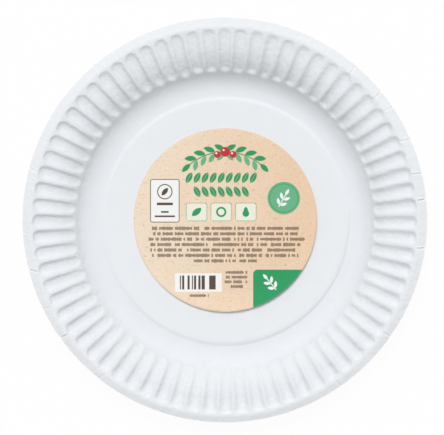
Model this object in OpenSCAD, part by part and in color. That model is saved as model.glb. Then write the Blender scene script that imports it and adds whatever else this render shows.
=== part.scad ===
// Round paper plate, pressed from one sheet of board, with a fluted wall,
// and the round printed label that lies on its raised floor.
// The origin is on the table under the middle of the plate, with +Z up.
// All sizes are in millimetres.

/* [Plate] */
// Diameter across the rim
plate_d = 230; // [206:1:280]
// Height of the brim above the table
plate_h = 17; // [13:0.5:24]
// Thickness of the board
board_t = 0.4; // [0.25:0.05:0.7]
// Height of the underside of the floor above the table
floor_rise = 0.75; // [0.4:0.05:1.5]

/* [Widths along the radius] */
// Slope from the floor down to the foot
step_w = 2.8; // [2:0.1:4]
// Flat foot, the only part that touches the table
foot_w = 1.4; // [0.8:0.1:2.5]
// Smooth hollow curve from the foot to the inner ends of the flutes
bend_w = 11.7; // [9:0.1:14]
// Round shoulder, where the fluted wall turns over towards the brim
shoulder_w = 17.1; // [12:0.1:19]
// Nearly level shelf at the outer ends of the flutes
shelf_w = 7.2; // [5:0.1:9]
// Smooth crown of the brim, outside the flutes
crown_w = 2; // [1.5:0.1:3]
// Lip that slopes down from the crown to the rim
lip_w = 3.8; // [2.5:0.1:5]

/* [Slopes in degrees] */
// Rise of the shelf towards the brim
shelf_slope = 5; // [2:0.5:8]
// Fall of the lip towards the rim
lip_slope = 20; // [10:1:30]

/* [Flutes] */
// Number of flutes around the wall
flute_n = 72; // [54:1:84]
// Depth of a flute below the ridges beside it
flute_depth = 1.3; // [0.6:0.05:1.5]
// Width of a ridge at the inner ends of the flutes
ridge_in_w = 1.4; // [1.2:0.1:2.2]
// Width of a ridge at the outer ends of the flutes
ridge_out_w = 1.4; // [1.2:0.1:3]
// Width of the slanting side of a flute, seen from above
side_w = 1.25; // [0.8:0.05:1.5]
// Radius of the round outer end of a flute
outer_round = 3.8; // [2:0.1:4.5]
// Radius of the round inner end of a flute
inner_round = 2.4; // [1.5:0.1:3]

/* [Label] */
// Diameter of the label
label_d = 105; // [60:1:130]
// Thickness of the label
label_t = 0.3; // [0.15:0.05:0.6]

/* [Hidden] */

// Radii where one stretch of the section meets the next
rim_r = plate_d / 2;
lip_r = rim_r - lip_w;
flute_out_r = lip_r - crown_w;
shelf_r = flute_out_r - shelf_w;
flute_in_r = shelf_r - shoulder_w;
foot_r = flute_in_r - bend_w;
foot_in_r = foot_r - foot_w;
floor_r = foot_in_r - step_w;
floor_z = floor_rise + board_t;

// The wall is a hollow arc, a round arc and a straight shelf that meet without a kink.
// A chord of an arc slopes by the mean of its end slopes, which gives the height of each.
// The steepest slope is the one at which the three add up to the height of the brim.
halvings = 30;
steepest_allowed = 85;
function wall_height(steep) =
    bend_w * tan(steep / 2)
    + shoulder_w * tan((steep + shelf_slope) / 2)
    + shelf_w * tan(shelf_slope);
function find_steepest(low, high, left) =
    let (middle = (low + high) / 2)
    left == 0 ? middle
    : wall_height(middle) < plate_h - board_t ? find_steepest(middle, high, left - 1)
    : find_steepest(low, middle, left - 1);
wall_slope = find_steepest(shelf_slope, steepest_allowed, halvings);

// Section of the upper face outside the foot: radius and slope at each joint of two stretches
JOINTS = [
    [foot_r, 0],
    [flute_in_r, wall_slope],
    [shelf_r, shelf_slope],
    [flute_out_r, shelf_slope],
    [lip_r, -lip_slope],
    [rim_r, -lip_slope]
];
function stretch(r, i = 0) =
    i == len(JOINTS) - 2 || r <= JOINTS[i + 1][0] ? i : stretch(r, i + 1);
function arc_slope(r, start, end) =
    asin(sin(start[1]) + (sin(end[1]) - sin(start[1])) * (r - start[0]) / (end[0] - start[0]));
function joint_z(i) =
    i == 0 ? board_t
    : joint_z(i - 1)
        + (JOINTS[i][0] - JOINTS[i - 1][0]) * tan((JOINTS[i][1] + JOINTS[i - 1][1]) / 2);
function slope_at(r) =
    r <= foot_r ? 0
    : let (i = stretch(r)) arc_slope(r, JOINTS[i], JOINTS[i + 1]);
function height_at(r) =
    r <= foot_r ? board_t
    : let (i = stretch(r))
        joint_z(i) + (r - JOINTS[i][0]) * tan((slope_at(r) + JOINTS[i][1]) / 2);

// Flutes. Around each one a ring has four points: two at the ridges, two at its floor,
// which keeps some width however wide the sides are.
flute_pitch = 360 / flute_n;
corners = 4;
least_floor_half = 0.2;
function ridge_w(r) =
    ridge_in_w + (ridge_out_w - ridge_in_w) * (r - flute_in_r) / (flute_out_r - flute_in_r);
function round_share(s, radius) = sqrt(1 - pow(1 - s / radius, 2));

// On the underside a flute is wider all round, so that its sides keep the board's thickness
under_growth = board_t * tan(atan(flute_depth / side_w) / 2);

// The wall and the raised floor are fused where both are flat, inside the width of the foot
wall_in_r = foot_in_r + foot_w / 3;
raised_out_r = foot_r - foot_w / 3;

// Rings of points from the foot to the rim.
// Each is its radius, the flutes' share of their full width, their share of the full
// depth, and which way it moves on the underside: -1 inwards, 1 outwards.
bend_steps = 4;
flute_steps = 3;
end_wall_w = 0.9;
tip_share = 0.45;
long_in_r = flute_in_r + inner_round;
long_out_r = flute_out_r - outer_round;
RINGS = concat(
    [[wall_in_r, 0, 0, 0]],
    [for (i = [0 : bend_steps - 1]) [foot_r + bend_w * i / bend_steps, 0, 0, 0]],
    [[flute_in_r, tip_share, 0, -1]],
    [[flute_in_r + end_wall_w, round_share(end_wall_w, inner_round), 1, -1]],
    [for (i = [0 : flute_steps]) [long_in_r + (long_out_r - long_in_r) * i / flute_steps, 1, 1, 0]],
    [[flute_out_r - end_wall_w, round_share(end_wall_w, outer_round), 1, 1]],
    [[flute_out_r, tip_share, 0, 1]],
    [[(flute_out_r + lip_r) / 2, 0, 0, 0], [lip_r, 0, 0, 0], [rim_r, 0, 0, 0]]
);

// Point of the board at radius r of the section, sunk square to the upper face
function board_point(r, angle, sink) =
    let (out = r + sink * sin(slope_at(r)))
    [out * cos(angle), out * sin(angle), height_at(r) - sink * cos(slope_at(r))];

function is_fluted(i) = RINGS[i][1] > 0;
function flute_corners(middle, r, share, depth, sink, growth) =
    let (
        half = (2 * PI * r / flute_n - ridge_w(r)) / 2,
        top_angle = (share * half + growth) / r * 180 / PI,
        floor_angle = (share * max(half - side_w, least_floor_half) + growth) / r * 180 / PI
    )
    [
        board_point(r, middle - top_angle, sink),
        board_point(r, middle - floor_angle, sink + depth),
        board_point(r, middle + floor_angle, sink + depth),
        board_point(r, middle + top_angle, sink)
    ];
function ring_points(i, sink, growth) =
    let (r = RINGS[i][0] + RINGS[i][3] * growth)
    is_fluted(i)
    ? [for (k = [0 : flute_n - 1])
        each flute_corners(k * flute_pitch, r, RINGS[i][1], RINGS[i][2] * flute_depth, sink, growth)]
    : [for (k = [0 : flute_n - 1]) board_point(r, k * flute_pitch, sink)];
function face_points(sink, growth) =
    [for (i = [0 : len(RINGS) - 1]) each ring_points(i, sink, growth)];

// Faces of the upper side, and the same ones turned over for the underside
function ring_size(i) = is_fluted(i) ? corners * flute_n : flute_n;
function ring_start(i) = i == 0 ? 0 : ring_start(i - 1) + ring_size(i - 1);
function at(i, k) = ring_start(i) + k % ring_size(i);
function even_band(i) =
    [for (k = [0 : ring_size(i) - 1])
        each [
            [at(i, k), at(i, k + 1), at(i + 1, k + 1)],
            [at(i, k), at(i + 1, k + 1), at(i + 1, k)]
        ]];
function opening_band(i) =
    [for (k = [0 : flute_n - 1])
        each concat(
            [for (c = [0 : corners - 2])
                [at(i, k), at(i + 1, corners * k + c + 1), at(i + 1, corners * k + c)]],
            [
                [at(i, k), at(i, k + 1), at(i + 1, corners * k + corners - 1)],
                [at(i, k + 1), at(i + 1, corners * k + corners), at(i + 1, corners * k + corners - 1)]
            ]
        )];
function closing_band(i) =
    [for (k = [0 : flute_n - 1])
        each concat(
            [for (c = [0 : corners - 2])
                [at(i + 1, k), at(i, corners * k + c), at(i, corners * k + c + 1)]],
            [
                [at(i, corners * k + corners - 1), at(i, corners * k + corners), at(i + 1, k + 1)],
                [at(i, corners * k + corners - 1), at(i + 1, k + 1), at(i + 1, k)]
            ]
        )];
function band(i) =
    is_fluted(i) == is_fluted(i + 1) ? even_band(i)
    : is_fluted(i) ? closing_band(i)
    : opening_band(i);

// Faces of the board's edge along one plain ring, from the upper side to the underside
function edge_band(i, under_start, outwards) =
    [for (k = [0 : flute_n - 1])
        let (a = at(i, k), b = at(i, k + 1))
        each outwards
            ? [[a, b, b + under_start], [a, b + under_start, a + under_start]]
            : [[a, b + under_start, b], [a, a + under_start, b + under_start]]];

// Foot, fluted wall and brim
module wall() {
    last = len(RINGS) - 1;
    upper = [for (i = [0 : last - 1]) each band(i)];
    under_start = ring_start(last) + ring_size(last);
    under = [for (face = upper) [face[0], face[2], face[1]] + [1, 1, 1] * under_start];
    inner_edge = edge_band(0, under_start, false);
    rim_edge = edge_band(last, under_start, true);
    polyhedron(
        points = concat(face_points(0, 0), face_points(board_t, under_growth)),
        faces = concat(upper, under, inner_edge, rim_edge)
    );
}

// Flat floor and the step down from it, which runs on into the foot
module raised_floor() {
    rotate_extrude($fn = 180)
        polygon([
            [0, floor_rise],
            [floor_r, floor_rise],
            [foot_in_r, 0],
            [raised_out_r, 0],
            [raised_out_r, board_t],
            [foot_in_r, board_t],
            [floor_r, floor_z],
            [0, floor_z]
        ]);
}

module plate() {
    color("whitesmoke") {
        wall();
        raised_floor();
    }
}

module label() {
    color("tan")
        translate([0, 0, floor_z])
            cylinder(h = label_t, d = label_d, $fn = 180);
}

plate();
label();
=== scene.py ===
import math

import bpy
import numpy as np
from mathutils import Euler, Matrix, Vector


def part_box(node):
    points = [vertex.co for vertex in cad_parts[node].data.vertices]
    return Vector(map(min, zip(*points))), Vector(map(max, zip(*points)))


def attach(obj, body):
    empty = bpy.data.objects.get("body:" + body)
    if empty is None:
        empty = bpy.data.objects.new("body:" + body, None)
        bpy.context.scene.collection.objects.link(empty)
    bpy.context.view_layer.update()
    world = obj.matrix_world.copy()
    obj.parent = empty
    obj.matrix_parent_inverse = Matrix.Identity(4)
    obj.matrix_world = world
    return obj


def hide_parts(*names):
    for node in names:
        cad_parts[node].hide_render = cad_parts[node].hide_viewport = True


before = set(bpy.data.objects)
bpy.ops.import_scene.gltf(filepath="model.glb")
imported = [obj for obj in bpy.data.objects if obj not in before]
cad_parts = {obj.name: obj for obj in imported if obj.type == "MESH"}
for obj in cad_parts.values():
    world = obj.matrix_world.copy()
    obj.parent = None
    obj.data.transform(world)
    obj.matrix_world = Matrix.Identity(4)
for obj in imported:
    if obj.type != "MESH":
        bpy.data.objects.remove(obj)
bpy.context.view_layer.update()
MM = 0.001

# Camera
# The photograph looks straight down from far away, tipped a little to the right, so the
# floor of the plate lies a pixel to the right of the rim. It is 444 pixels wide and 435
# high, and the plate is 405 pixels across with its middle right of and below the centre.
FRAME_PX = Vector((444, 435))
PLATE_PX = 405
PLATE_MIDDLE_PX = Vector((224.3, 220.0))
CAMERA_FROM = Euler((0, math.radians(2), 0))
CAMERA_AWAY = 2.0
plate_low, plate_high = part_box("plate")
m_per_px = (plate_high.x - plate_low.x) / PLATE_PX
offset_px = PLATE_MIDDLE_PX - FRAME_PX / 2
aim = Vector((-offset_px.x, offset_px.y, 0)) * m_per_px + Vector((0, 0, plate_high.z))
camera = bpy.data.objects.new("camera", bpy.data.cameras.new("camera"))
camera.data.lens = camera.data.sensor_width * CAMERA_AWAY / (FRAME_PX.x * m_per_px)
camera.rotation_euler = CAMERA_FROM
camera.location = aim + CAMERA_FROM.to_matrix() @ Vector((0, 0, CAMERA_AWAY))
bpy.context.scene.collection.objects.link(camera)
bpy.context.scene.camera = camera

# Plate
# One sheet of white uncoated board, pressed between two heated dies in a single stroke.
# The dies raise the floor, turn up the wall and form the 72 flutes. The board that is
# too much at the brim folds into fine pleats, each in a place of its own.
BOARD = 0.4 * MM
FLOOR_R, FOOT_IN_R, FOOT_R = 68.7 * MM, 72.1 * MM, 73.2 * MM
BEND_R, FLUTE_IN_R, SHOULDER_R = 81.1 * MM, 84.8 * MM, 87.1 * MM
SHELF_R, FLUTE_OUT_R = 101.5 * MM, 109.65 * MM
LIP_R, RIM_R = 111.4 * MM, plate_high.x
# The rim was cut a little off the middle of the dies
RELIEF_Y = -0.65 * MM
FLOOR_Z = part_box("label")[0].z
BRIM_Z = plate_high.z
BEND_SLOPE, SHOULDER_SLOPE = math.radians(30), math.radians(46)
SHELF_SLOPE, LIP_SLOPE = math.radians(5), math.radians(-18)


def rise(stretches):
    """Height that arcs gain, each given as its width and the slopes at its two ends."""
    return sum(width * math.tan((start + end) / 2) for width, start, end in stretches)


def wall(steep):
    return (
        (BEND_R - FOOT_R, 0, BEND_SLOPE),
        (FLUTE_IN_R - BEND_R, BEND_SLOPE, steep),
        (SHOULDER_R - FLUTE_IN_R, steep, SHOULDER_SLOPE),
        (SHELF_R - SHOULDER_R, SHOULDER_SLOPE, SHELF_SLOPE),
        (FLUTE_OUT_R - SHELF_R, SHELF_SLOPE, SHELF_SLOPE),
    )


# The wall is as steep as it must be to reach the height of the brim, and so is the step
HALVINGS = 30
low, high = 0, math.radians(85)
for halving in range(HALVINGS):
    steep = (low + high) / 2
    low, high = (steep, high) if rise(wall(steep)) < BRIM_Z - BOARD else (low, steep)
step_half = (FOOT_IN_R - FLOOR_R) / 2
step_slope = -2 * math.atan((FLOOR_Z - BOARD) / (2 * step_half))
SECTION = (
    (0, 0),
    (FLOOR_R, 0),
    (FLOOR_R + step_half, step_slope),
    (FOOT_IN_R, 0),
    (FOOT_R, 0),
    (BEND_R, BEND_SLOPE),
    (FLUTE_IN_R, steep),
    (SHOULDER_R, SHOULDER_SLOPE),
    (SHELF_R, SHELF_SLOPE),
    (FLUTE_OUT_R, SHELF_SLOPE),
    (LIP_R, LIP_SLOPE),
    (RIM_R, LIP_SLOPE),
)


def section_height(r):
    z = FLOOR_Z
    for (start_r, start), (end_r, end) in zip(SECTION, SECTION[1:]):
        share = min(1, (r - start_r) / (end_r - start_r))
        slope = math.asin(math.sin(start) + (math.sin(end) - math.sin(start)) * share)
        z += (end_r - start_r) * share * math.tan((start + slope) / 2)
        if r <= end_r:
            return z
    return z


FLUTES = 72
FLUTE_HALF_IN, FLUTE_HALF_OUT = 3.3 * MM, 4.0 * MM
OUTER_END, INNER_END = 3.7 * MM, 1.8 * MM
PITCH = 2 * math.pi / FLUTES
FLUTE_TURN = math.radians(0.03)
# The sheet slid a little in the dies, so the flutes stand off their even places by the sum
# of two waves: how often each goes around, its size and the place of its crest in degrees
SLIDES = ((1, 0.28, -117), (2, 0.15, -178))


def flute_half(r):
    """Half the width of a flute at radius r."""
    first, last = FLUTE_IN_R + INNER_END, FLUTE_OUT_R - OUTER_END
    share = min(1, max(0, (r - first) / (last - first)))
    return FLUTE_HALF_IN + (FLUTE_HALF_OUT - FLUTE_HALF_IN) * share


# Pleats of the brim that show from a step away: degrees clockwise from the top of the
# photograph at the flutes, drift in degrees towards the rim, depth in millimetres, and
# which side of the fold is steep: 1 anticlockwise, -1 clockwise. The faint ones between
# them are drawn at random.
PLEATS = [
    (21.3, 0.2, 0.12, -1), (40.5, -0.3, 0.3, -1), (50.6, 0.0, 0.45, -1), (55.2, 0.8, 0.4, -1),
    (65.4, 1.0, 0.4, -1), (75.8, 0.8, 0.6, -1), (83.8, 0.1, 0.8, -1), (98.0, -0.2, 0.6, -1),
    (124.7, 0.2, 0.6, -1), (134.5, 0.0, 0.14, -1), (144.9, -0.2, 0.25, -1), (187.6, 0.1, 0.2, 1),
    (203.2, 0.1, 0.24, 1), (218.0, 0.8, 0.16, 1), (234.4, 0.1, 0.8, 1), (244.0, 0.0, 0.2, 1),
    (255.0, 1.1, 0.8, 1), (266.0, 0.3, 0.14, -1), (281.6, 0.0, 0.16, -1), (284.9, 0.2, 0.35, 1),
    (326.4, 0.0, 0.2, -1),
]
FAINT_PLEATS, FAINT_APART = 24, 2.5
FAINT_DRIFT, FAINT_DEPTHS = 0.6, (0.05, 0.12)
# Across a pleat, in halves of its width: the board rises, drops steeply and climbs back
FOLD = ((-2.1, 0), (-1.2, -0.3), (-0.6, -0.25), (0.1, 0.7), (0.5, 1), (1.2, 0.5), (2.3, 0))
FOLD_HALF = 0.4 * MM
chance = np.random.default_rng(7)
for degrees in np.sort(chance.uniform(0, 360, FAINT_PLEATS)):
    if min(abs(degrees - pleat[0]) for pleat in PLEATS) > FAINT_APART:
        drift = chance.uniform(-FAINT_DRIFT, FAINT_DRIFT)
        depth = chance.uniform(*FAINT_DEPTHS)
        PLEATS.append((degrees, drift, depth, chance.choice((-1, 1))))
PLEATS.sort()


def even_columns(count):
    return np.arange(count) * 2 * math.pi / count


def slid(angle):
    """How far a flute at this angle stands off its even place, in radians."""
    return sum(
        math.radians(size) * math.cos(times * angle - math.radians(crest))
        for times, size, crest in SLIDES
    )


COLUMN_SHARES = (0.28, 0.5, 0.66, 0.8, 0.91, 1)


def flute_columns(r):
    """Angles of the columns of points at radius r, close together at the flutes' edges."""
    across = [share * flute_half(r) / r for share in COLUMN_SHARES]
    one_flute = [-a for a in reversed(across)] + [0] + across + [PITCH / 2]
    angles = []
    for k in range(FLUTES):
        middle = k * PITCH + FLUTE_TURN + slid(k * PITCH)
        angles += [middle + a for a in one_flute]
    return np.sort(np.mod(angles, 2 * math.pi))


def from_top(degrees):
    """Angle of a place that is given clockwise from the top of the photograph."""
    return math.radians(90 - degrees)


def turn_between(angle, other):
    return (angle - other + math.pi) % (2 * math.pi) - math.pi


# The columns of the brim, sorted once: angle at the flutes, drift towards the rim in
# radians, and how far the fold sinks. Plain columns keep clear of the folds, and those
# that are near one drift with it.
PLAIN_BRIM_COLUMNS = 10 * FLUTES
FOLD_CLEARANCE, DRIFT_REACH = 1.1 * MM, 2.5 * MM
brim_columns = []
for angle in even_columns(PLAIN_BRIM_COLUMNS):
    turns = [turn_between(angle, from_top(pleat[0])) for pleat in PLEATS]
    nearest = int(np.argmin(np.abs(turns)))
    clear = abs(turns[nearest]) * RIM_R - FOLD_CLEARANCE
    if clear > 0:
        drift = -math.radians(PLEATS[nearest][1]) * max(0, 1 - clear / DRIFT_REACH)
        brim_columns.append((angle, drift, 0))
for degrees, drift, depth, side in PLEATS:
    for across, share in FOLD:
        angle = (from_top(degrees) + side * across * FOLD_HALF / RIM_R) % (2 * math.pi)
        brim_columns.append((angle, -math.radians(drift), share * depth))
brim_columns.sort()
BRIM_ANGLES, BRIM_DRIFTS, BRIM_FOLDS = np.array(brim_columns).T

# Rings of points from the middle to the rim: radius, and the angles of the columns
FLOOR_RINGS = ((24 * MM, 36), (46 * MM, 72), (60 * MM, 144), (66 * MM, 216))
STEP_RINGS, HOLLOW_RINGS, WALL_RINGS, BRIM_RINGS = 13, 7, 10, 6
HOLLOW_END = FLUTE_IN_R - 5.2 * MM
BRIM_START = FLUTE_OUT_R + 0.45 * MM
rings = [(r, even_columns(count)) for r, count in FLOOR_RINGS]
for r in [*np.linspace(FLOOR_R, FOOT_IN_R, STEP_RINGS), *np.linspace(FOOT_R, HOLLOW_END, HOLLOW_RINGS)]:
    rings.append((r, even_columns(3 * FLUTES)))
inner_end = FLUTE_IN_R + MM * np.array((-4.4, -3.2, -2.1, -1.2, -0.5, -0.1, 0.3, 0.7, 1.1, 1.6, 2.2, 3))
outer_end = FLUTE_OUT_R - MM * np.array((3.8, 2.8, 2.0, 1.4, 1.0, 0.7, 0.4, 0.1, -0.2))
for r in [*inner_end, *np.linspace(inner_end[-1], outer_end[0], WALL_RINGS)[1:-1], *outer_end]:
    rings.append((r, flute_columns(r)))
for r in [*np.linspace(BRIM_START, LIP_R, BRIM_RINGS), *np.linspace(LIP_R, RIM_R, BRIM_RINGS)[1:]]:
    rings.append((r, None))

# A pleat is at its full depth from a sixth of the brim's width on, and it nicks the rim
FULL_DEPTH_AT, NICK_SHARE = 1 / 6, 0.8
points, pleat_depths, faces = [(0, 0, FLOOR_Z)], [0], []
previous = None
for r, angles in rings:
    depths = nicks = np.zeros(1)
    if angles is None:
        out = (r - FLUTE_OUT_R) / (RIM_R - FLUTE_OUT_R)
        angles = BRIM_ANGLES + BRIM_DRIFTS * out
        depths = BRIM_FOLDS * MM * min(1, out / FULL_DEPTH_AT)
        if math.isclose(r, RIM_R):
            nicks = np.maximum(BRIM_FOLDS, 0) * MM * NICK_SHARE
    start = len(points)
    z = section_height(r)
    for angle, depth, nick in np.broadcast(angles, depths, nicks):
        points.append(((r - nick) * math.cos(angle), (r - nick) * math.sin(angle), z))
        pleat_depths.append(depth)
    outer = [(angle, start + i) for i, angle in enumerate(angles)]
    outer.append((angles[0] + 2 * math.pi, start))
    if previous is None:
        faces += [(0, a[1], b[1]) for a, b in zip(outer, outer[1:])]
    elif len(previous) == len(outer):
        for a, b, c, d in zip(previous, outer, outer[1:], previous[1:]):
            faces.append((a[1], b[1], c[1], d[1]))
    else:
        i = j = 0
        while i < len(previous) - 1 or j < len(outer) - 1:
            inner_next = previous[i + 1][0] if i < len(previous) - 1 else math.inf
            outer_next = outer[j + 1][0] if j < len(outer) - 1 else math.inf
            if inner_next <= outer_next:
                faces.append((previous[i][1], outer[j][1], previous[i + 1][1]))
                i += 1
            else:
                faces.append((previous[i][1], outer[j][1], outer[j + 1][1]))
                j += 1
    previous = outer

sheet = bpy.data.meshes.new("pressed sheet")
sheet.from_pydata(points, [], faces)
sheet.attributes.new("pleat", "FLOAT", "POINT").data.foreach_set("value", pleat_depths)
plate = bpy.data.objects.new("paper_plate", sheet)
bpy.context.scene.collection.objects.link(plate)


def feed(tree, socket, value):
    """Link another socket to this one, or set this one to a value."""
    if isinstance(value, bpy.types.NodeSocket):
        tree.links.new(value, socket)
    else:
        socket.default_value = value


def math_node(tree, operation, *values):
    """Result of a maths node that is fed by sockets or numbers."""
    node = tree.nodes.new("ShaderNodeMath")
    node.operation = operation
    for socket, value in zip(node.inputs, values):
        feed(tree, socket, value)
    return node.outputs[0]


def ramp(tree, value, start, full, kind="LINEAR"):
    """From 0 where the value is start to 1 where it is full."""
    node = tree.nodes.new("ShaderNodeMapRange")
    node.interpolation_type = kind
    tree.links.new(value, node.inputs["Value"])
    node.inputs["From Min"].default_value = start
    node.inputs["From Max"].default_value = full
    return node.outputs["Result"]


def mixed(tree, share, first, second):
    """A colour between two, each given as a socket or as red, green and blue."""
    node = tree.nodes.new("ShaderNodeMix")
    node.data_type = "RGBA"
    tree.links.new(share, node.inputs[0])
    for socket, colour in ((node.inputs[6], first), (node.inputs[7], second)):
        feed(tree, socket, (*colour, 1) if isinstance(colour, tuple) else colour)
    return node.outputs[2]


# The die presses the flutes into the sheet, each flute a rounded trough with round ends
die = bpy.data.node_groups.new("flute die", "GeometryNodeTree")
die.interface.new_socket("Geometry", in_out="OUTPUT", socket_type="NodeSocketGeometry")
die.interface.new_socket("Geometry", in_out="INPUT", socket_type="NodeSocketGeometry")
DIE_VALUES = {
    "Flutes": FLUTES,
    "Flute turn": FLUTE_TURN,
    "Inner end length": INNER_END,
    "Outer end length": OUTER_END,
    "Inner end": FLUTE_IN_R,
    "Outer end": FLUTE_OUT_R,
    "Inner half width": FLUTE_HALF_IN,
    "Outer half width": FLUTE_HALF_OUT,
    "Depth": 1.76 * MM,
    "Deeper on the left": 0.25,
    "Growth outwards": 0.5,
    "Growth at the bottom": 0.75,
    "Fade at the bottom": 0.5,
    "Fade at the top left": 0.25,
    "Side share": 0.68,
    "Steeper on the left": 0.3,
    "Side height": 0.4,
    "Gentler on the left": 1.6,
    "Blunter at the bottom": 0.4,
    "Unevenness": 1.0,
    "Uneven place": 0.5 * MM,
    "Uneven depth": 0.25,
    "Uneven end": 0.9 * MM,
    "Crumple": 0.12 * MM,
    "Warp": 0.8 * MM,
    "Cockle": 0.5 * MM,
    "Floor edge lift": 0.45 * MM,
    "Brim lift": 0.9 * MM,
    "Ripple": 0.5 * MM,
    "Seed": 4,
}
sockets = {
    name: die.interface.new_socket(name, in_out="INPUT", socket_type="NodeSocketFloat")
    for name in DIE_VALUES
}
sockets["Board"] = die.interface.new_socket("Board", in_out="INPUT", socket_type="NodeSocketMaterial")
given = die.nodes.new("NodeGroupInput")
result = die.nodes.new("NodeGroupOutput")


def die_maths(operation, *values):
    """Maths in the die, in which a text stands for the input of that name."""
    return math_node(die, operation, *(given.outputs[v] if isinstance(v, str) else v for v in values))


def hypotenuse(x, y):
    squares = die_maths("ADD", die_maths("MULTIPLY", x, x), die_maths("MULTIPLY", y, y))
    return die_maths("SQRT", squares)


position = die.nodes.new("GeometryNodeInputPosition").outputs[0]
place = die.nodes.new("ShaderNodeSeparateXYZ")
die.links.new(position, place.inputs[0])
x, y = place.outputs["X"], place.outputs["Y"]
radius = hypotenuse(x, y)
turn = die_maths("ARCTAN2", y, x)
pitch = die_maths("DIVIDE", 2 * math.pi, "Flutes")
flute_turn = die_maths("SUBTRACT", turn, "Flute turn")
for times, size, crest in SLIDES:
    waves = die_maths("MULTIPLY", turn, times)
    wave = die_maths("COSINE", die_maths("SUBTRACT", waves, math.radians(crest)))
    flute_turn = die_maths("MULTIPLY_ADD", wave, -math.radians(size), flute_turn)
number = die_maths("ROUND", die_maths("DIVIDE", flute_turn, pitch))
# Each flute draws three numbers of its own, for its place, its depth and its inner end
draw = die.nodes.new("ShaderNodeTexWhiteNoise")
draw.noise_dimensions = "2D"
pair = die.nodes.new("ShaderNodeCombineXYZ")
die.links.new(die_maths("WRAP", number, "Flutes", 0), pair.inputs["X"])
die.links.new(given.outputs["Seed"], pair.inputs["Y"])
die.links.new(pair.outputs[0], draw.inputs["Vector"])
drawn = die.nodes.new("ShaderNodeSeparateXYZ")
die.links.new(draw.outputs["Color"], drawn.inputs[0])


def uneven(channel, size):
    """A number around 0 that differs from flute to flute."""
    centred = die_maths("MULTIPLY", die_maths("SUBTRACT", drawn.outputs[channel], 0.5), "Unevenness")
    return die_maths("MULTIPLY", centred, size)


def die_noise(scale, detail, channel=0):
    """Smooth noise around 0 in the place of the sheet."""
    noise = die.nodes.new("ShaderNodeTexNoise")
    noise.inputs["Scale"].default_value = scale
    noise.inputs["Detail"].default_value = detail
    die.links.new(position, noise.inputs["Vector"])
    colour = die.nodes.new("ShaderNodeSeparateXYZ")
    die.links.new(noise.outputs["Color"], colour.inputs[0])
    return die_maths("SUBTRACT", colour.outputs[channel], 0.5)


def blend_by_radius(start, full):
    """From 0 at the radius start to 1 at the radius full, without a kink."""
    return ramp(die, radius, start, full, "SMOOTHSTEP")


# Where the dies were uneven, in degrees anticlockwise from the right of the photograph
STEEP_LEFT, BLUNT_BOTTOM, FADED_BOTTOM, FADED_TOP_LEFT = 165, -70, -100, 115
LIFTED_FLOOR, LIFTED_BRIM = -25, 40


def facing(degrees):
    """1 in this direction from the middle, and 0 from a quarter turn away."""
    off = die_maths("SUBTRACT", turn, math.radians(degrees))
    return die_maths("MAXIMUM", die_maths("COSINE", off), 0)


# The pleated board doesn't follow the die quite, so the flutes' edges wander a little
WANDER_SCALE = 260
local = die_maths("SUBTRACT", flute_turn, die_maths("MULTIPLY", number, pitch))
across = die_maths("ADD", die_maths("MULTIPLY", local, radius), uneven("X", "Uneven place"))
across = die_maths("MULTIPLY_ADD", die_noise(WANDER_SCALE, 1, 0), "Warp", across)
warped = die_maths("MULTIPLY_ADD", die_noise(WANDER_SCALE, 1, 1), "Warp", radius)
# The dies met a little askew: on the left the flutes' sides are steeper and their inner
# ends run out more gently
on_left = facing(STEEP_LEFT)
side_share = die_maths("SUBTRACT", "Side share", die_maths("MULTIPLY", on_left, "Steeper on the left"))
gentler = die_maths("MULTIPLY_ADD", on_left, "Gentler on the left", 1)
inner_length = die_maths("MULTIPLY", "Inner end length", gentler)
inner_end_r = die_maths("ADD", "Inner end", uneven("Z", "Uneven end"))
inner_centre = die_maths("ADD", inner_end_r, inner_length)
# Towards the bottom of the photograph their outer ends are blunt
blunter = die_maths("MULTIPLY", facing(BLUNT_BOTTOM), "Blunter at the bottom")
outer_length = die_maths("MULTIPLY", "Outer end length", die_maths("SUBTRACT", 1, blunter))
outer_centre = die_maths("SUBTRACT", "Outer end", outer_length)
before = die_maths("SUBTRACT", inner_centre, warped)
after = die_maths("SUBTRACT", warped, outer_centre)
past_inner = die_maths("MULTIPLY", before, die_maths("DIVIDE", "Inner half width", inner_length))
past_outer = die_maths("MULTIPLY", after, die_maths("DIVIDE", "Outer half width", outer_length))
past = die_maths("MAXIMUM", die_maths("MAXIMUM", past_inner, past_outer), 0)
away = hypotenuse(across, past)
length = die_maths("SUBTRACT", outer_centre, inner_centre)
along = die_maths("DIVIDE", die_maths("MULTIPLY", before, -1), length)
along = die_maths("MINIMUM", die_maths("MAXIMUM", along, 0), 1)
widening = die_maths("SUBTRACT", "Outer half width", "Inner half width")
half_width = die_maths("MULTIPLY_ADD", widening, along, "Inner half width")
outward = die_maths("MINIMUM", die_maths("DIVIDE", away, half_width), 1)
inward = die_maths("SUBTRACT", 1, outward)
hollow = die_maths("SUBTRACT", 1, die_maths("MULTIPLY", outward, outward))
# The section of a flute is between a plain hollow and a flat floor with S-shaped sides
up_side = die_maths("MINIMUM", die_maths("DIVIDE", inward, side_share), 1)
s_rise = die_maths("SUBTRACT", 3, die_maths("MULTIPLY", up_side, 2))
side = die_maths("MULTIPLY", die_maths("MULTIPLY", up_side, up_side), s_rise)
steep_part = die_maths("MULTIPLY", die_maths("SUBTRACT", side, hollow), "Side height")
shape = die_maths("ADD", hollow, steep_part)
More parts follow.
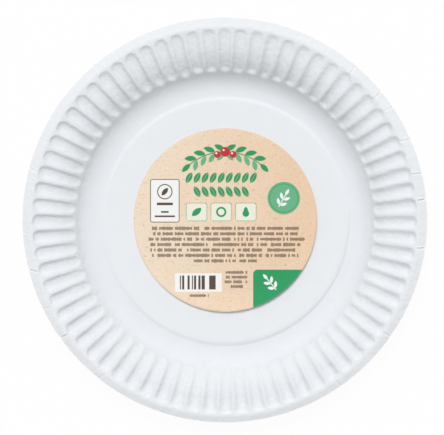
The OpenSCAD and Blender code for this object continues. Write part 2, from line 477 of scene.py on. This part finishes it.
# The flutes grow deeper outwards at the bottom of the photograph, and shallower at its top.
# At their outer ends they fade a little at the bottom and at the top left.
FADE_START, FADE_END = FLUTE_OUT_R - 7 * MM, FLUTE_OUT_R - 1.5 * MM
deeper = die_maths("MULTIPLY_ADD", on_left, "Deeper on the left", 1)
deeper = die_maths("ADD", deeper, uneven("Y", "Uneven depth"))
towards_top = die_maths("MULTIPLY", die_maths("SINE", turn), "Growth at the bottom")
growth = die_maths("SUBTRACT", "Growth outwards", towards_top)
grown = die_maths("MULTIPLY_ADD", growth, die_maths("SUBTRACT", along, 0.5), 1)
end_fade = die_maths("MULTIPLY", facing(FADED_TOP_LEFT), "Fade at the top left")
end_fade = die_maths("MULTIPLY_ADD", facing(FADED_BOTTOM), "Fade at the bottom", end_fade)
end_fade = die_maths("MULTIPLY", end_fade, blend_by_radius(FADE_START, FADE_END))
faded = die_maths("SUBTRACT", 1, end_fade)
depth = die_maths("MULTIPLY", "Depth", deeper)
depth = die_maths("MULTIPLY", depth, die_maths("MULTIPLY", grown, faded))
sink = die_maths("MULTIPLY", shape, depth)
# The board is a little crumpled where the flutes are, and the brim is cockled
CRUMPLE_SCALE, COCKLE_SCALE, RIPPLE_SCALE = 300, 45, 120
fluted = blend_by_radius(FLUTE_IN_R - 2 * MM, FLUTE_IN_R + 2 * MM)
crumple = die_maths("MULTIPLY", die_noise(CRUMPLE_SCALE, 2), "Crumple")
sink = die_maths("MULTIPLY_ADD", crumple, fluted, sink)
cockle = die_maths("MULTIPLY", die_noise(COCKLE_SCALE, 1), "Cockle")
sink = die_maths("MULTIPLY_ADD", cockle, blend_by_radius(SHELF_R, LIP_R), sink)
# The ridges between the flutes run out into the wall below as faint ripples
ridge_wave = die_maths("COSINE", die_maths("MULTIPLY", flute_turn, "Flutes"))
ripple_place = die_maths("SUBTRACT", blend_by_radius(FLUTE_IN_R - 5.5 * MM, FLUTE_IN_R), fluted)
ripple = die_maths("MULTIPLY", ridge_wave, die_maths("ADD", die_noise(RIPPLE_SCALE, 2, 2), 0.1))
ripple = die_maths("MULTIPLY", die_maths("MULTIPLY", ripple, ripple_place), "Ripple")
sink = die_maths("ADD", sink, ripple)
# The floor's edge stands a little higher at the lower right
inside_edge = blend_by_radius(57 * MM, FLOOR_R)
outside_edge = blend_by_radius(FOOT_IN_R - 0.4 * MM, FLOOR_R + 1.6 * MM)
edge_share = die_maths("MULTIPLY", inside_edge, outside_edge)
edge_share = die_maths("MULTIPLY", facing(LIFTED_FLOOR), edge_share)
edge_lift = die_maths("MULTIPLY", edge_share, "Floor edge lift")
sink = die_maths("SUBTRACT", sink, edge_lift)
pleat = die.nodes.new("GeometryNodeInputNamedAttribute")
pleat.data_type = "FLOAT"
pleat.inputs["Name"].default_value = "pleat"
sink = die_maths("ADD", sink, pleat.outputs["Attribute"])
push = die.nodes.new("ShaderNodeVectorMath")
push.operation = "SCALE"
die.links.new(die.nodes.new("GeometryNodeInputNormal").outputs[0], push.inputs[0])
die.links.new(die_maths("MULTIPLY", sink, -1), push.inputs["Scale"])
pressed = die.nodes.new("GeometryNodeSetPosition")
die.links.new(given.outputs["Geometry"], pressed.inputs["Geometry"])
die.links.new(push.outputs[0], pressed.inputs["Offset"])
# The rim was cut off the middle of the dies, so all inside the lip is shifted
shift = die.nodes.new("ShaderNodeVectorMath")
shift.operation = "SCALE"
shift.inputs[0].default_value = (0, RELIEF_Y, 0)
die.links.new(ramp(die, radius, RIM_R, LIP_R), shift.inputs["Scale"])
# The hollow of the wall is a little steeper at the upper right, and the brim higher
up_hollow = blend_by_radius(FOOT_R + 3.5 * MM, FLUTE_IN_R)
lift_share = die_maths("MULTIPLY", facing(LIFTED_BRIM), up_hollow)
brim_lift = die.nodes.new("ShaderNodeCombineXYZ")
die.links.new(die_maths("MULTIPLY", lift_share, "Brim lift"), brim_lift.inputs["Z"])
moved = die.nodes.new("ShaderNodeVectorMath")
die.links.new(shift.outputs[0], moved.inputs[0])
die.links.new(brim_lift.outputs[0], moved.inputs[1])
shifted = die.nodes.new("GeometryNodeSetPosition")
die.links.new(pressed.outputs[0], shifted.inputs["Geometry"])
die.links.new(moved.outputs[0], shifted.inputs["Offset"])
realized = die.nodes.new("GeometryNodeRealizeInstances")
die.links.new(shifted.outputs[0], realized.inputs[0])
dressed = die.nodes.new("GeometryNodeSetMaterial")
die.links.new(realized.outputs[0], dressed.inputs["Geometry"])
die.links.new(given.outputs["Board"], dressed.inputs["Material"])
die.links.new(dressed.outputs[0], result.inputs[0])

# Grain of paper, for the board and the label: noise in the place of the sheet, and the
# bumps that it gives where the mask is 1
grain = bpy.data.node_groups.new("paper grain", "ShaderNodeTree")
for name, kind in (
    ("Place", "NodeSocketVector"),
    ("Scale", "NodeSocketFloat"),
    ("Detail", "NodeSocketFloat"),
    ("Depth", "NodeSocketFloat"),
    ("Mask", "NodeSocketFloat"),
    ("Normal", "NodeSocketVector"),
):
    grain.interface.new_socket(name, in_out="INPUT", socket_type=kind)
grain.interface.new_socket("Value", in_out="OUTPUT", socket_type="NodeSocketFloat")
grain.interface.new_socket("Normal", in_out="OUTPUT", socket_type="NodeSocketVector")
grain_given = grain.nodes.new("NodeGroupInput")
grain_result = grain.nodes.new("NodeGroupOutput")
grain_noise = grain.nodes.new("ShaderNodeTexNoise")
grain.links.new(grain_given.outputs["Place"], grain_noise.inputs["Vector"])
grain.links.new(grain_given.outputs["Scale"], grain_noise.inputs["Scale"])
grain.links.new(grain_given.outputs["Detail"], grain_noise.inputs["Detail"])
grain_bump = grain.nodes.new("ShaderNodeBump")
grain_bump.inputs["Strength"].default_value = 1
grain_height = math_node(grain, "MULTIPLY", grain_noise.outputs[0], grain_given.outputs["Mask"])
grain.links.new(grain_height, grain_bump.inputs["Height"])
grain.links.new(grain_given.outputs["Depth"], grain_bump.inputs["Distance"])
grain.links.new(grain_given.outputs["Normal"], grain_bump.inputs["Normal"])
grain.links.new(grain_noise.outputs[0], grain_result.inputs["Value"])
grain.links.new(grain_bump.outputs[0], grain_result.inputs["Normal"])


def grain_in(tree, **values):
    """The paper grain in a material, with the material's own values."""
    node = tree.nodes.new("ShaderNodeGroup")
    node.node_tree = grain
    values.setdefault("Mask", 1)
    values.setdefault("Normal", tree.nodes.new("ShaderNodeNewGeometry").outputs["Normal"])
    for name, value in values.items():
        feed(tree, node.inputs[name], value)
    return node.outputs


# White uncoated board: faintly mottled, with a fibrous skin, and crumpled where pressed
board = bpy.data.materials.new("white board")
board.use_nodes = True
board_tree = board.node_tree
board_shader = board_tree.nodes["Principled BSDF"]
MOTTLE_DARK, MOTTLE_PALE = (0.796, 0.825, 0.855), (0.83, 0.858, 0.884)
CLOUD_SCALE, SPECK_SCALE, ROUGH_SCALE = 90, 1100, 500
SPECK_SHARE, CONTRAST = 0.4, 2.2
# Painted light: the paler white that the floor and the brim are painted towards, and how far each is
# painted
PAINTED_LIGHT_WHITE, FLOOR_PAINTED_LIGHT, BRIM_PAINTED_LIGHT = (0.955, 0.957, 0.98), 0.22, 0.32
BOARD_SMOOTHEST, BOARD_ROUGHER, BOARD_SHINE = 0.78, 0.2, 0.2
board_place = board_tree.nodes.new("ShaderNodeTexCoord").outputs["Object"]


def board_maths(operation, *values):
    return math_node(board_tree, operation, *values)


def board_noise(scale, detail):
    return grain_in(board_tree, Place=board_place, Scale=scale, Detail=detail)["Value"]


def by_radius(start, full):
    """From 0 at the radius start to 1 at the radius full."""
    return ramp(board_tree, from_middle.outputs["Value"], start, full)


specks = board_maths("MULTIPLY", board_noise(SPECK_SCALE, 1), SPECK_SHARE)
cloud = board_maths("MULTIPLY_ADD", board_noise(CLOUD_SCALE, 3), 1 - SPECK_SHARE, specks)
spread = board_maths("MULTIPLY_ADD", board_maths("SUBTRACT", cloud, 0.5), CONTRAST, 0.5)
mottle = mixed(board_tree, spread, MOTTLE_DARK, MOTTLE_PALE)
from_middle = board_tree.nodes.new("ShaderNodeVectorMath")
from_middle.operation = "LENGTH"
board_tree.links.new(board_place, from_middle.inputs[0])
# Painted light: the floor and the brim are painted a little paler than the wall, which leaves the wall
# in painted shade
painted_light_on_brim = board_maths("MULTIPLY", by_radius(FLUTE_OUT_R - 1 * MM, LIP_R), BRIM_PAINTED_LIGHT)
painted_light_on_floor = by_radius(FLOOR_R + 3 * MM, FLOOR_R - 1 * MM)
painted_light_share = board_maths("MULTIPLY_ADD", painted_light_on_floor, FLOOR_PAINTED_LIGHT, painted_light_on_brim)
board_colour = mixed(board_tree, painted_light_share, mottle, PAINTED_LIGHT_WHITE)
board_tree.links.new(board_colour, board_shader.inputs["Base Color"])
rough_noise = board_noise(ROUGH_SCALE, 2)
board_roughness = board_maths("MULTIPLY_ADD", rough_noise, BOARD_ROUGHER, BOARD_SMOOTHEST)
board_tree.links.new(board_roughness, board_shader.inputs["Roughness"])
board_shader.inputs["Specular IOR Level"].default_value = BOARD_SHINE
skin = grain_in(board_tree, Place=board_place, Scale=700, Detail=4, Depth=0.03 * MM)["Normal"]
creased = grain_in(
    board_tree,
    Place=board_place,
    Scale=330,
    Detail=2,
    Depth=0.5 * MM,
    Mask=by_radius(FLUTE_IN_R - 6 * MM, FLUTE_IN_R + 2 * MM),
    Normal=skin,
)
board_tree.links.new(creased["Normal"], board_shader.inputs["Normal"])

press = plate.modifiers.new("press", "NODES")
press.node_group = die
for name, value in DIE_VALUES.items():
    press[sockets[name].identifier] = value
press[sockets["Board"].identifier] = board
thicken = plate.modifiers.new("board", "SOLIDIFY")
thicken.thickness = BOARD
thicken.offset = -1
thicken.use_even_offset = True
thicken.use_quality_normals = True
solid = bpy.data.meshes.new_from_object(plate.evaluated_get(bpy.context.evaluated_depsgraph_get()))
plate.modifiers.clear()
plate.data = solid
solid.shade_smooth()
PLATE_SHARP = math.radians(60)
solid.set_sharp_from_angle(angle=PLATE_SHARP)
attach(plate, "root")
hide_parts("plate")

# Label
# A round card, printed in green, red, white and black on kraft board and cut out with a
# round die. It lies loose on the middle of the floor, its lower right edge lifted a little.
label_low, label_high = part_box("label")
LABEL_R = label_high.x
CUT_ROUND = 0.06 * MM
LIFT, LIFT_FROM, LIFT_TOWARDS = 1.9 * MM, 40 * MM, math.radians(-56)
CARD_COLUMNS, CARD_RINGS = 180, 10
card_radii = [LIFT_FROM / 2, *np.linspace(LIFT_FROM, LABEL_R - CUT_ROUND, CARD_RINGS)]
card_section = [(r, label_low.z) for r in card_radii]
card_section += [(LABEL_R, label_low.z + CUT_ROUND), (LABEL_R, label_high.z - CUT_ROUND)]
card_section += [(r, label_high.z) for r in reversed(card_radii)]
card_points = [(0, 0, label_low.z)]
for r, z in card_section:
    near_edge = max(0, (r - LIFT_FROM) / (LABEL_R - LIFT_FROM)) ** 2
    for angle in even_columns(CARD_COLUMNS):
        lift = LIFT * near_edge * max(0, math.cos(angle - LIFT_TOWARDS))
        card_points.append((r * math.cos(angle), r * math.sin(angle), z + lift))
card_points.append((0, 0, label_high.z))
card_faces = []
last_ring = 1 + (len(card_section) - 1) * CARD_COLUMNS
for k in range(CARD_COLUMNS):
    following = (k + 1) % CARD_COLUMNS
    card_faces.append((0, 1 + following, 1 + k))
    card_faces.append((len(card_points) - 1, last_ring + k, last_ring + following))
    for start in range(1, last_ring, CARD_COLUMNS):
        a, b = start + k, start + following
        card_faces.append((a, b, b + CARD_COLUMNS, a + CARD_COLUMNS))
card = bpy.data.meshes.new("label card")
card.from_pydata(card_points, [], card_faces)
card.shade_smooth()
CARD_SHARP = math.radians(50)
card.set_sharp_from_angle(angle=CARD_SHARP)
label = bpy.data.objects.new("label_card", card)
bpy.context.scene.collection.objects.link(label)

kraft = bpy.data.materials.new("printed kraft card")
kraft.use_nodes = True
print_tree = kraft.node_tree
card_shader = print_tree.nodes["Principled BSDF"]
in_mm = print_tree.nodes.new("ShaderNodeVectorMath")
in_mm.operation = "SCALE"
in_mm.inputs["Scale"].default_value = 1 / MM
print_tree.links.new(print_tree.nodes.new("ShaderNodeTexCoord").outputs["Object"], in_mm.inputs[0])


def print_maths(operation, *values):
    return math_node(print_tree, operation, *values)


def spot(x, y, turn=0):
    """Place on the card in millimetres, measured from a spot of the print and turned with it."""
    moved = print_tree.nodes.new("ShaderNodeMapping")
    moved.vector_type = "TEXTURE"
    moved.inputs["Location"].default_value = (x, y, 0)
    moved.inputs["Rotation"].default_value = (0, 0, math.radians(turn))
    print_tree.links.new(in_mm.outputs[0], moved.inputs["Vector"])
    split = print_tree.nodes.new("ShaderNodeSeparateXYZ")
    print_tree.links.new(moved.outputs[0], split.inputs[0])
    return split.outputs["X"], split.outputs["Y"]


def reach(x, y):
    squares = print_maths("MULTIPLY_ADD", x, x, print_maths("MULTIPLY", y, y))
    return print_maths("SQRT", squares)


def off_box(place, half_width, half_height, corner):
    """How far a place is outside a box with round corners."""
    past_x = print_maths("SUBTRACT", print_maths("ABSOLUTE", place[0]), half_width - corner)
    past_y = print_maths("SUBTRACT", print_maths("ABSOLUTE", place[1]), half_height - corner)
    outside = reach(print_maths("MAXIMUM", past_x, 0), print_maths("MAXIMUM", past_y, 0))
    inside = print_maths("MINIMUM", print_maths("MAXIMUM", past_x, past_y), 0)
    return print_maths("SUBTRACT", print_maths("ADD", outside, inside), corner)


def off_disc(place, radius):
    return print_maths("SUBTRACT", reach(*place), radius)


def off_leaf(place, length, width):
    """How far a place is outside a leaf, two arcs that meet in points along x."""
    bow = (length ** 2 + width ** 2) / (4 * width)
    sideways = print_maths("ADD", print_maths("ABSOLUTE", place[1]), bow - width / 2)
    return print_maths("SUBTRACT", reach(place[0], sideways), bow)


# Ink fades out over this many millimetres on both sides of its edge
INK_EDGE = 0.12


def filled(off):
    """1 inside a shape, of which off is the distance outside, and 0 outside it."""
    return ramp(print_tree, off, INK_EDGE, -INK_EDGE)


def outlined(off, half_line):
    return filled(print_maths("SUBTRACT", print_maths("ABSOLUTE", off), half_line))


def both(mask, other):
    return print_maths("MULTIPLY", mask, other)


def either(*masks):
    joined = masks[0]
    for mask in masks[1:]:
        joined = print_maths("MAXIMUM", joined, mask)
    return joined


def chance_of(*values):
    """An even draw between 0 and 1 for each whole number, or pair of them."""
    noise = print_tree.nodes.new("ShaderNodeTexWhiteNoise")
    noise.noise_dimensions = "2D"
    joined = print_tree.nodes.new("ShaderNodeCombineXYZ")
    for value, socket in zip(values, joined.inputs):
        print_tree.links.new(value, socket)
    print_tree.links.new(joined.outputs[0], noise.inputs["Vector"])
    return noise.outputs["Value"]


# Strokes and words of the fine print in millimetres, and the shares of them left open
STROKE, WORD = 0.5, 1.0
STROKE_GAP, WORD_GAPS = 0.16, 0.2
# Half a stroke in shares of the print's height, least and added, and how ragged rows are
HALF_STROKE, HALF_STROKE_ADDED, RAGGED = 0.32, 0.26, 0.1
ANOTHER_DRAW = 50


def fine_lines(place, rows, step, height, half_length, last_half):
    """Rows of small dark strokes that stand for fine print, the top row at y = 0."""
    x, y = place
    row = print_maths("ROUND", print_maths("DIVIDE", y, -step))
    from_row = print_maths("ABSOLUTE", print_maths("MULTIPLY_ADD", row, step, y))
    in_rows = both(print_maths("GREATER_THAN", row, -0.5), print_maths("LESS_THAN", row, rows - 0.5))
    ragged = print_maths("MULTIPLY_ADD", chance_of(row), -RAGGED * half_length, half_length)
    is_last = print_maths("GREATER_THAN", row, rows - 1.5)
    end = print_maths("MULTIPLY_ADD", is_last, last_half - half_length, ragged)
    in_length = print_maths("LESS_THAN", print_maths("ABSOLUTE", x), end)
    strokes = print_maths("DIVIDE", x, STROKE)
    stroke_draw = chance_of(print_maths("FLOOR", strokes), row)
    least, added = height * HALF_STROKE, height * HALF_STROKE_ADDED
    half_stroke = print_maths("MULTIPLY_ADD", stroke_draw, added, least)
    in_stroke = print_maths("LESS_THAN", from_row, half_stroke)
    off_gap = print_maths("GREATER_THAN", print_maths("FRACT", strokes), STROKE_GAP)
    word_number = print_maths("FLOOR", print_maths("DIVIDE", x, WORD))
    word_draw = chance_of(word_number, print_maths("ADD", row, ANOTHER_DRAW))
    in_word = print_maths("GREATER_THAN", word_draw, WORD_GAPS)
    return both(both(both(in_rows, in_length), both(in_stroke, in_word)), off_gap)


def printed(under, mask, colour):
    """A layer of ink over what is under it."""
    return mixed(print_tree, mask, under, colour)


FIBRE_TURN = 0.6


def pulled(stretch):
    """Place on the card in millimetres, drawn out along the run of the fibres."""
    node = print_tree.nodes.new("ShaderNodeMapping")
    node.inputs["Rotation"].default_value = (0, 0, FIBRE_TURN)
    node.inputs["Scale"].default_value = (1 / stretch, 1, 1)
    print_tree.links.new(in_mm.outputs[0], node.inputs["Vector"])
    return node.outputs[0]


def card_noise(scale, detail, stretch=1):
    return grain_in(print_tree, Place=pulled(stretch), Scale=scale, Detail=detail)["Value"]


def above(value, start, full):
    return ramp(print_tree, value, start, full)


# Kraft board: pale tan, paler to the left, with light and dark flecks of fibre
KRAFT_PALE, KRAFT_DEEP = (0.9, 0.755, 0.59), (0.852, 0.62, 0.43)
KRAFT_FLECK_DARK, KRAFT_FLECK_LIGHT = (0.66, 0.44, 0.27), (0.93, 0.78, 0.62)
TAN_PER_MM, TAN_IN_MIDDLE = 0.011, 0.55
card_x, card_y = spot(0, 0)
depth_of_tan = print_maths("MULTIPLY_ADD", card_x, TAN_PER_MM, TAN_IN_MIDDLE)
for scale, detail, strength in ((0.09, 2, 0.8), (0.7, 3, 1.2)):
    around_zero = print_maths("SUBTRACT", card_noise(scale, detail), 0.5)
    depth_of_tan = print_maths("MULTIPLY_ADD", around_zero, strength, depth_of_tan)
colour = printed(KRAFT_PALE, above(depth_of_tan, 0, 1), KRAFT_DEEP)
dark_flecks = both(above(card_noise(1.1, 3, 3), 0.56, 0.76), above(card_noise(0.8, 1), 0.4, 0.6))
colour = printed(colour, dark_flecks, KRAFT_FLECK_DARK)
colour = printed(colour, above(card_noise(1.5, 2, 2), 0.58, 0.8), KRAFT_FLECK_LIGHT)

GREEN, LIGHT_GREEN, RED = (0.03, 0.335, 0.125), (0.155, 0.47, 0.25), (0.56, 0.04, 0.05)
WHITE, CREAM, DARK = (0.93, 0.93, 0.92), (0.88, 0.87, 0.74), (0.11, 0.075, 0.055)


def turned(x, y, degrees):
    """A place in axes that are turned by this many degrees."""
    cosine, sine = math.cos(math.radians(degrees)), math.sin(math.radians(degrees))
    along = print_maths("MULTIPLY_ADD", x, cosine, print_maths("MULTIPLY", y, sine))
    sideways = print_maths("MULTIPLY_ADD", x, -sine, print_maths("MULTIPLY", y, cosine))
    return along, sideways


# Top: a garland along an arc, leaves in pairs, with red berries in its middle
ARC_R, LEAF_STEP, LEAF_PAIRS, LEAF_LEAN = 32, 5.6, 4, 38
GARLAND_LEAF, STEM_HALF, TIP_AWAY = (6.6, 2.9), 0.3, 2.4
BERRIES = ((0, 39, 2.8), (-4.5, 37.5, 2), (4.5, 37.5, 2))
GLINTS, GLINT_R = ((-0.9, 40), (-5.1, 38.2), (3.9, 38.2)), 0.55
arc_x, arc_y = spot(0, 7)
out_of_arc = print_maths("SUBTRACT", reach(arc_x, arc_y), ARC_R)
along_arc = print_maths("MULTIPLY", print_maths("ABSOLUTE", print_maths("ARCTAN2", arc_x, arc_y)), ARC_R)
in_pair = print_maths("SUBTRACT", print_maths("FRACT", print_maths("DIVIDE", along_arc, LEAF_STEP)), 0.5)
in_pair = print_maths("MULTIPLY", in_pair, LEAF_STEP)
beside_stem = print_maths("SUBTRACT", print_maths("ABSOLUTE", out_of_arc), 2.5)
on_garland = print_maths("LESS_THAN", along_arc, LEAF_STEP * LEAF_PAIRS)
pairs = both(filled(off_leaf(turned(in_pair, beside_stem, LEAF_LEAN), *GARLAND_LEAF)), on_garland)
outer_leaves = both(pairs, print_maths("GREATER_THAN", out_of_arc, 0))
stem = both(outlined(out_of_arc, STEM_HALF), on_garland)
tip = (print_maths("SUBTRACT", along_arc, LEAF_STEP * LEAF_PAIRS + TIP_AWAY), out_of_arc)
colour = printed(colour, pairs, LIGHT_GREEN)
colour = printed(colour, either(outer_leaves, stem, filled(off_leaf(tip, *GARLAND_LEAF))), GREEN)
berries = [filled(off_disc(spot(x, y), radius)) for x, y, radius in BERRIES]
colour = printed(colour, either(*berries), RED)
glints = [filled(off_disc(spot(x, y), GLINT_R)) for x, y in GLINTS]
colour = printed(colour, either(*glints), WHITE)

# Middle: two bands of slanting green leaves
LEAVES_APART, VEIN_HALF, VEIN_SHARE = 4.6, 0.1, 0.6
for band_x, band_y, half_count, slant in ((-2.3, 24.2, 4, 62), (-2.3, 16.2, 3, -62)):
    x, y = spot(band_x, band_y)
    number = print_maths("ROUND", print_maths("DIVIDE", x, LEAVES_APART))
    number = print_maths("MINIMUM", print_maths("MAXIMUM", number, -half_count), half_count)
    x = print_maths("MULTIPLY_ADD", number, -LEAVES_APART, x)
    leaf_place = turned(x, y, slant)
    leaf = filled(off_leaf(leaf_place, 7, 3.3))
    vein = outlined(leaf_place[1], VEIN_HALF)
    open_vein = both(both(leaf, vein), VEIN_SHARE)
    colour = printed(colour, print_maths("SUBTRACT", leaf, open_vein), GREEN)

# Leaves of a twig, in shares of its length: along it, sideways, and the lean in degrees
TWIG_LEAVES = (
    (0.62, 0, 0),
    (0.22, 0.2, 42),
    (0.22, -0.2, -42),
    (-0.2, 0.2, 42),
    (-0.2, -0.2, -42),
)


def twig(x, y, degrees, size):
    """A stalk with a leaf at its tip and two pairs of leaves along it."""
    cosine, sine = math.cos(math.radians(degrees)), math.sin(math.radians(degrees))
    parts = [filled(off_box(spot(x, y, degrees), size * 0.5, 0.28, 0.1))]
    for along, sideways, lean in TWIG_LEAVES:
        leaf_x = x + size * (along * cosine - sideways * sine)
        leaf_y = y + size * (along * sine + sideways * cosine)
        place = spot(leaf_x, leaf_y, degrees + lean)
        parts.append(filled(off_leaf(place, size * 0.46, size * 0.2)))
    return either(*parts)


# Right: a light green disc with a ring and a white twig
badge = off_disc(spot(33.5, 12.5), 9.3)
colour = printed(colour, filled(badge), LIGHT_GREEN)
colour = printed(colour, outlined(print_maths("ADD", badge, 1.2), 0.18), GREEN)
colour = printed(colour, twig(32.8, 11.3, 60, 8.6), WHITE)

# Left: a white panel with a thin frame, a ring and a few bars
panel = off_box(spot(-34.6, 11), 8.2, 12.2, 1.1)
colour = printed(colour, filled(panel), WHITE)
colour = printed(colour, outlined(panel, 0.22), DARK)
panel_marks = either(
    outlined(off_disc(spot(-34.6, 16.2), 4.1), 0.3),
    filled(off_leaf(spot(-34.6, 16.2, 50), 5.6, 2.6)),
    filled(off_box(spot(-34.6, 9.2), 4.6, 0.75, 0.3)),
    filled(off_box(spot(-34.6, 4.6), 2.2, 0.5, 0.2)),
    filled(off_box(spot(-34.6, 2.1), 5.8, 0.5, 0.2)),
)
colour = printed(colour, panel_marks, DARK)

# Under the bands: three cream panels with dashed green frames
PANEL_Y, DASH, DASH_GAP = 4.6, 1.5, 0.38
for panel_x, mark in ((-16.4, "leaf"), (-2.3, "ring"), (11.8, "drop")):
    place = spot(panel_x, PANEL_Y)
    small_panel = off_box(place, 5.9, 5.1, 1.4)
    colour = printed(colour, filled(small_panel), CREAM)
    dashes = print_maths("FRACT", print_maths("DIVIDE", print_maths("ADD", *place), DASH))
    dashed = both(outlined(small_panel, 0.2), print_maths("GREATER_THAN", dashes, DASH_GAP))
    if mark == "leaf":
        shape = filled(off_leaf(spot(panel_x, PANEL_Y, 40), 7, 3.4))
    elif mark == "ring":
        shape = outlined(off_disc(place, 2.4), 0.55)
    else:
        drop_end = filled(off_disc(spot(panel_x, PANEL_Y - 0.9), 1.9))
        shape = either(drop_end, filled(off_leaf(spot(panel_x, PANEL_Y + 0.5, 90), 5, 2.6)))
    colour = printed(colour, either(dashed, shape), GREEN)

# Lower half: rows of fine print, a striped block, and a green corner with a twig
fine = either(
    fine_lines(spot(0, -4.8), 7, 3.1, 1.9, 46, 20),
    fine_lines(spot(6.6, -30), 4, 2.7, 1.7, 7, 4),
    fine_lines(spot(-15, -43.3), 1, 3, 1.6, 6, 6),
)
FINE_PRINT_SHARE = 0.85
colour = printed(colour, both(fine, FINE_PRINT_SHARE), DARK)
block = spot(-15.4, -35.8)
colour = printed(colour, filled(off_box(block, 13.4, 5.3, 0.3)), WHITE)
STRIPE, STRIPES_OPEN = 0.62, 0.45
stripe_draw = chance_of(print_maths("FLOOR", print_maths("DIVIDE", block[0], STRIPE)))
is_dark = print_maths("GREATER_THAN", stripe_draw, STRIPES_OPEN)
stripes = both(filled(off_box(block, 11.6, 4, 0.1)), is_dark)
colour = printed(colour, stripes, DARK)
CORNER_X, CORNER_Y, CORNER_HALF = 16, -28.4, 30
corner_place = spot(CORNER_X + CORNER_HALF, CORNER_Y - CORNER_HALF)
corner = filled(off_box(corner_place, CORNER_HALF, CORNER_HALF, 2.5))
colour = printed(colour, corner, GREEN)
colour = printed(colour, twig(26.4, -36.6, 130, 8.6), WHITE)

# The cut edge is a little darker, and the card is dull, with a faint grain of fibres
EDGE_BROWN, EDGE_SHARE = (0.5, 0.4, 0.3), 0.12
CARD_SMOOTHEST, CARD_ROUGHER, CARD_SHINE = 0.7, 0.2, 0.25
edge_mask = above(reach(card_x, card_y), LABEL_R / MM - 0.9, LABEL_R / MM - 0.2)
colour = printed(colour, both(edge_mask, EDGE_SHARE), EDGE_BROWN)
print_tree.links.new(colour, card_shader.inputs["Base Color"])
card_shader.inputs["Specular IOR Level"].default_value = CARD_SHINE
roughness = print_maths("MULTIPLY_ADD", card_noise(2.2, 2), CARD_ROUGHER, CARD_SMOOTHEST)
print_tree.links.new(roughness, card_shader.inputs["Roughness"])
fibre = grain_in(print_tree, Place=pulled(2), Scale=2.6, Detail=3, Depth=0.0125 * MM)
print_tree.links.new(fibre["Normal"], card_shader.inputs["Normal"])
card.materials.append(kraft)
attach(label, "root")
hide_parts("label")

# Floor
# A plain white table top. The camera sees it as nearly white, with a trace of its shadow.
floor_mesh = bpy.data.meshes.new("table top")
TABLE_HALF = 3.0
table_corners = [(x * TABLE_HALF, y * TABLE_HALF, 0) for x, y in ((-1, -1), (1, -1), (1, 1), (-1, 1))]
floor_mesh.from_pydata(table_corners, [], [(0, 1, 2, 3)])
floor = bpy.data.objects.new("table_top", floor_mesh)
bpy.context.scene.collection.objects.link(floor)


def seen_share(tree, share):
    """A factor that is share for what the camera, a mirror or glass sees, and else 0."""
    rays = tree.nodes.new("ShaderNodeLightPath").outputs
    seen = math_node(tree, "MAXIMUM", rays["Is Camera Ray"], rays["Is Glossy Ray"])
    seen = math_node(tree, "MAXIMUM", seen, rays["Is Transmission Ray"])
    return math_node(tree, "MULTIPLY", seen, share)


TABLE_WHITE, FLOOR_WHITE = (0.9, 0.9, 0.9, 1), 0.96
table_top = bpy.data.materials.new("table top")
table_top.use_nodes = True
table_tree = table_top.node_tree
table_shader = table_tree.nodes["Principled BSDF"]
table_shader.inputs["Base Color"].default_value = TABLE_WHITE
table_shader.inputs["Roughness"].default_value = 1
table_shader.inputs["Specular IOR Level"].default_value = 0
glow = table_tree.nodes.new("ShaderNodeEmission")
whitened = table_tree.nodes.new("ShaderNodeMixShader")
table_tree.links.new(seen_share(table_tree, FLOOR_WHITE), whitened.inputs[0])
table_tree.links.new(table_shader.outputs[0], whitened.inputs[1])
table_tree.links.new(glow.outputs[0], whitened.inputs[2])
table_tree.links.new(whitened.outputs[0], table_tree.nodes["Material Output"].inputs["Surface"])
floor_mesh.materials.append(table_top)

# Light
# A soft key light from the top of the photograph, a little left, and an even white room.
KEY_TURN = math.radians(6)
KEY_HEIGHT = math.radians(60)
KEY_STRENGTH, KEY_SPREAD = 1.85, math.radians(30)
ROOM_LIGHT = 0.45
key = bpy.data.objects.new("key", bpy.data.lights.new("key", "SUN"))
key.data.energy = KEY_STRENGTH
key.data.angle = KEY_SPREAD
towards = Vector((
    -math.sin(KEY_TURN) * math.cos(KEY_HEIGHT),
    math.cos(KEY_TURN) * math.cos(KEY_HEIGHT),
    math.sin(KEY_HEIGHT),
))
key.rotation_euler = towards.to_track_quat("Z", "Y").to_euler()
bpy.context.scene.collection.objects.link(key)
world = bpy.data.worlds.new("white room")
world.use_nodes = True
room = world.node_tree.nodes["Background"]
room.inputs["Color"].default_value = (1, 1, 1, 1)
seen_extra = seen_share(world.node_tree, 1 - ROOM_LIGHT)
room_strength = math_node(world.node_tree, "ADD", seen_extra, ROOM_LIGHT)
world.node_tree.links.new(room_strength, room.inputs["Strength"])
bpy.context.scene.world = world
bpy.context.scene.view_settings.view_transform = "Standard"
